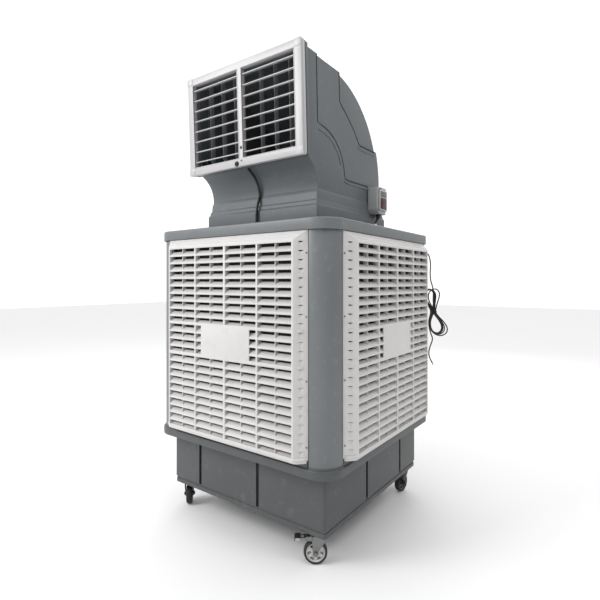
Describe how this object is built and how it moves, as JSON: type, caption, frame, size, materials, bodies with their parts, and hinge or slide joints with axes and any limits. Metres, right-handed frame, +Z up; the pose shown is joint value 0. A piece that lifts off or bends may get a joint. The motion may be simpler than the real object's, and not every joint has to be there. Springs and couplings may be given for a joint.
{
  "type": "evaporative cooler",
  "caption": "Mobile evaporative cooler: square cabinet with louvred pad panels on a water tank with casters, and a roof elbow duct with an adjustable louvre outlet.",
  "frame": {"origin": "on the floor under the middle of the cabinet", "axes": "+Z up, the outlet faces -Y, the control box is on the +X side"},
  "size_m": [1.2042, 1.2042, 2.2084],
  "materials": {
    "grey_housing": "satin",
    "grey_tank": "satin",
    "white_louvre": "satin",
    "white_outlet": "satin",
    "vane_plastic": "satin",
    "black_plastic": "matte",
    "pad_paper": "matte",
    "black_cable": "satin",
    "water_pipe": "satin",
    "fan_shell": "satin",
    "motor_paint": "satin",
    "black_steel": "satin",
    "zinc_steel": "satin",
    "screw_steel": "satin",
    "wheel_tread": "matte",
    "pedal_steel": "satin",
    "window_red": "gloss",
    "toggle_plastic": "satin",
    "valve_brass": "satin"
  },
  "bodies": {
    "cabinet": {"base_pan": "grey_housing", "top_cover": "grey_housing", "elbow_duct": "grey_housing", "control_box": "grey_housing", "column_front_right": "grey_housing", "column_rear_right": "grey_housing", "column_rear_left": "grey_housing", "column_front_left": "grey_housing", "water_tank": "grey_tank", "intake_panel_front": "white_louvre", "intake_panel_right": "white_louvre", "intake_panel_rear": "white_louvre", "intake_panel_left": "white_louvre", "outlet_frame": "white_outlet", "swing_motor": "black_plastic", "pump": "black_plastic", "drain_plug": "black_plastic", "cord_gland": "black_plastic", "cooling_pads": "pad_paper", "cord_lead": "black_cable", "cord_hank": "black_cable", "cord_tail": "black_cable", "swing_cable": "black_cable", "box_cable": "black_cable", "water_distributor": "water_pipe", "fan_shroud": "fan_shell", "fan_motor": "motor_paint", "motor_bracket": "black_steel", "caster_frame": "black_steel", "panel_screws": "screw_steel", "float_valve": "valve_brass"},
    "fan": {"fan_rotor": "fan_shell"},
    "flap": {"control_box_cover": "window_red"},
    "toggle": {"breaker_toggle": "toggle_plastic"},
    "float": {"float_arm": "black_plastic"},
    "link": {"vane_link": "vane_plastic"},
    "louvre_row_1": {"louvre_row_1": "white_outlet"},
    "louvre_row_2": {"louvre_row_2": "white_outlet"},
    "louvre_row_3": {"louvre_row_3": "white_outlet"},
    "louvre_row_4": {"louvre_row_4": "white_outlet"},
    "louvre_row_5": {"louvre_row_5": "white_outlet"},
    "louvre_row_6": {"louvre_row_6": "white_outlet"},
    "louvre_row_7": {"louvre_row_7": "white_outlet"},
    "louvre_row_8": {"louvre_row_8": "white_outlet"},
    "vane_1": {"vane_1": "vane_plastic"},
    "vane_2": {"vane_2": "vane_plastic"},
    "vane_3": {"vane_3": "vane_plastic"},
    "vane_4": {"vane_4": "vane_plastic"},
    "vane_5": {"vane_5": "vane_plastic"},
    "vane_6": {"vane_6": "vane_plastic"},
    "fork_front_right": {"caster_fork_front_right": "zinc_steel"},
    "wheel_front_right": {"caster_wheel_front_right": "wheel_tread"},
    "fork_rear_right": {"caster_fork_rear_right": "black_steel"},
    "wheel_rear_right": {"caster_wheel_rear_right": "wheel_tread"},
    "fork_rear_left": {"caster_fork_rear_left": "zinc_steel"},
    "wheel_rear_left": {"caster_wheel_rear_left": "wheel_tread"},
    "fork_front_left": {"caster_fork_front_left": "black_steel"},
    "wheel_front_left": {"caster_wheel_front_left": "wheel_tread"},
    "pedal_front_right": {"brake_pedal_front_right": "pedal_steel"},
    "pedal_rear_left": {"brake_pedal_rear_left": "pedal_steel"}
  },
  "joints": [
    {"name": "fan_spin", "type": "hinge", "parent": "cabinet", "child": "fan", "pos_m": [0, -0.013, 1.365], "axis": [0, 0, 1], "continuous": true},
    {"name": "louvre_tilt_1", "type": "hinge", "parent": "cabinet", "child": "louvre_row_1", "pos_m": [0, -0.44571, 1.79181], "axis": [1, 0, 0], "range_deg": [-60, 30]},
    {"name": "louvre_tilt_2", "type": "hinge", "parent": "cabinet", "child": "louvre_row_2", "pos_m": [0, -0.44771, 1.84287], "axis": [1, 0, 0], "range_deg": [-60, 30]},
    {"name": "louvre_tilt_3", "type": "hinge", "parent": "cabinet", "child": "louvre_row_3", "pos_m": [0, -0.44971, 1.89393], "axis": [1, 0, 0], "range_deg": [-60, 30]},
    {"name": "louvre_tilt_4", "type": "hinge", "parent": "cabinet", "child": "louvre_row_4", "pos_m": [0, -0.45171, 1.94499], "axis": [1, 0, 0], "range_deg": [-60, 30]},
    {"name": "louvre_tilt_5", "type": "hinge", "parent": "cabinet", "child": "louvre_row_5", "pos_m": [0, -0.4537, 1.99605], "axis": [1, 0, 0], "range_deg": [-60, 30]},
    {"name": "louvre_tilt_6", "type": "hinge", "parent": "cabinet", "child": "louvre_row_6", "pos_m": [0, -0.4557, 2.04711], "axis": [1, 0, 0], "range_deg": [-60, 30]},
    {"name": "louvre_tilt_7", "type": "hinge", "parent": "cabinet", "child": "louvre_row_7", "pos_m": [0, -0.4577, 2.09817], "axis": [1, 0, 0], "range_deg": [-60, 30]},
    {"name": "louvre_tilt_8", "type": "hinge", "parent": "cabinet", "child": "louvre_row_8", "pos_m": [0, -0.4597, 2.14923], "axis": [1, 0, 0], "range_deg": [-60, 30]},
    {"name": "vane_swing_1", "type": "hinge", "parent": "cabinet", "child": "vane_1", "pos_m": [-0.253, -0.40843, 1.9644], "axis": [0, -0.0391, 0.9992], "range_deg": [-40, 40]},
    {"name": "vane_swing_2", "type": "hinge", "parent": "cabinet", "child": "vane_2", "pos_m": [-0.168, -0.40843, 1.9644], "axis": [0, -0.0391, 0.9992], "range_deg": [-40, 40]},
    {"name": "vane_swing_3", "type": "hinge", "parent": "cabinet", "child": "vane_3", "pos_m": [-0.083, -0.40843, 1.9644], "axis": [0, -0.0391, 0.9992], "range_deg": [-40, 40]},
    {"name": "vane_swing_4", "type": "hinge", "parent": "cabinet", "child": "vane_4", "pos_m": [0.083, -0.40843, 1.9644], "axis": [0, -0.0391, 0.9992], "range_deg": [-40, 40]},
    {"name": "vane_swing_5", "type": "hinge", "parent": "cabinet", "child": "vane_5", "pos_m": [0.168, -0.40843, 1.9644], "axis": [0, -0.0391, 0.9992], "range_deg": [-40, 40]},
    {"name": "vane_swing_6", "type": "hinge", "parent": "cabinet", "child": "vane_6", "pos_m": [0.253, -0.40843, 1.9644], "axis": [0, -0.0391, 0.9992], "range_deg": [-40, 40]},
    {"name": "link_pivot", "type": "hinge", "parent": "vane_1", "child": "link", "pos_m": [-0.253, -0.38502, 1.77517], "axis": [0, -0.0391, 0.9992], "range_deg": [-40, 40]},
    {"name": "swivel_front_right", "type": "hinge", "parent": "cabinet", "child": "fork_front_right", "pos_m": [0.42, -0.42, 0.122], "axis": [0, 0, 1], "continuous": true},
    {"name": "roll_front_right", "type": "hinge", "parent": "fork_front_right", "child": "wheel_front_right", "pos_m": [0.39985, -0.4348, 0.05], "axis": [0.592, -0.8059, 0], "continuous": true},
    {"name": "brake_front_right", "type": "hinge", "parent": "fork_front_right", "child": "pedal_front_right", "pos_m": [0.37326, -0.45434, 0.111], "axis": [0.592, -0.8059, 0], "range_deg": [0, 9]},
    {"name": "swivel_rear_right", "type": "hinge", "parent": "cabinet", "child": "fork_rear_right", "pos_m": [0.42, 0.42, 0.122], "axis": [0, 0, 1], "continuous": true},
    {"name": "roll_rear_right", "type": "hinge", "parent": "fork_rear_right", "child": "wheel_rear_right", "pos_m": [0.41782, 0.39509, 0.05], "axis": [0.9962, -0.0872, 0], "continuous": true},
    {"name": "swivel_rear_left", "type": "hinge", "parent": "cabinet", "child": "fork_rear_left", "pos_m": [-0.42, 0.42, 0.122], "axis": [0, 0, 1], "continuous": true},
    {"name": "roll_rear_left", "type": "hinge", "parent": "fork_rear_left", "child": "wheel_rear_left", "pos_m": [-0.40085, 0.43607, 0.05], "axis": [-0.6428, 0.766, 0], "continuous": true},
    {"name": "brake_rear_left", "type": "hinge", "parent": "fork_rear_left", "child": "pedal_rear_left", "pos_m": [-0.37557, 0.45728, 0.111], "axis": [-0.6428, 0.766, 0], "range_deg": [0, 9]},
    {"name": "swivel_front_left", "type": "hinge", "parent": "cabinet", "child": "fork_front_left", "pos_m": [-0.42, -0.42, 0.122], "axis": [0, 0, 1], "continuous": true},
    {"name": "roll_front_left", "type": "hinge", "parent": "fork_front_left", "child": "wheel_front_left", "pos_m": [-0.43768, -0.40232, 0.05], "axis": [-0.7071, -0.7071, 0], "continuous": true},
    {"name": "flap_hinge", "type": "hinge", "parent": "cabinet", "child": "flap", "pos_m": [0.4065, 0.1895, 1.674], "axis": [0, -1, 0], "range_deg": [0, 100]},
    {"name": "toggle_flip", "type": "hinge", "parent": "cabinet", "child": "toggle", "pos_m": [0.378, 0.1895, 1.624], "axis": [0, 1, 0], "range_deg": [-36, 0]},
    {"name": "float_swing", "type": "hinge", "parent": "cabinet", "child": "float", "pos_m": [0.2, 0.43, 0.352], "axis": [0, 1, 0], "range_deg": [0, 22]}
  ],
  "couplings": [
    {"joint": "vane_swing_2", "follows": "vane_swing_1", "ratio": 1},
    {"joint": "vane_swing_3", "follows": "vane_swing_1", "ratio": 1},
    {"joint": "vane_swing_4", "follows": "vane_swing_1", "ratio": 1},
    {"joint": "vane_swing_5", "follows": "vane_swing_1", "ratio": 1},
    {"joint": "vane_swing_6", "follows": "vane_swing_1", "ratio": 1},
    {"joint": "link_pivot", "follows": "vane_swing_1", "ratio": -1}
  ]
}
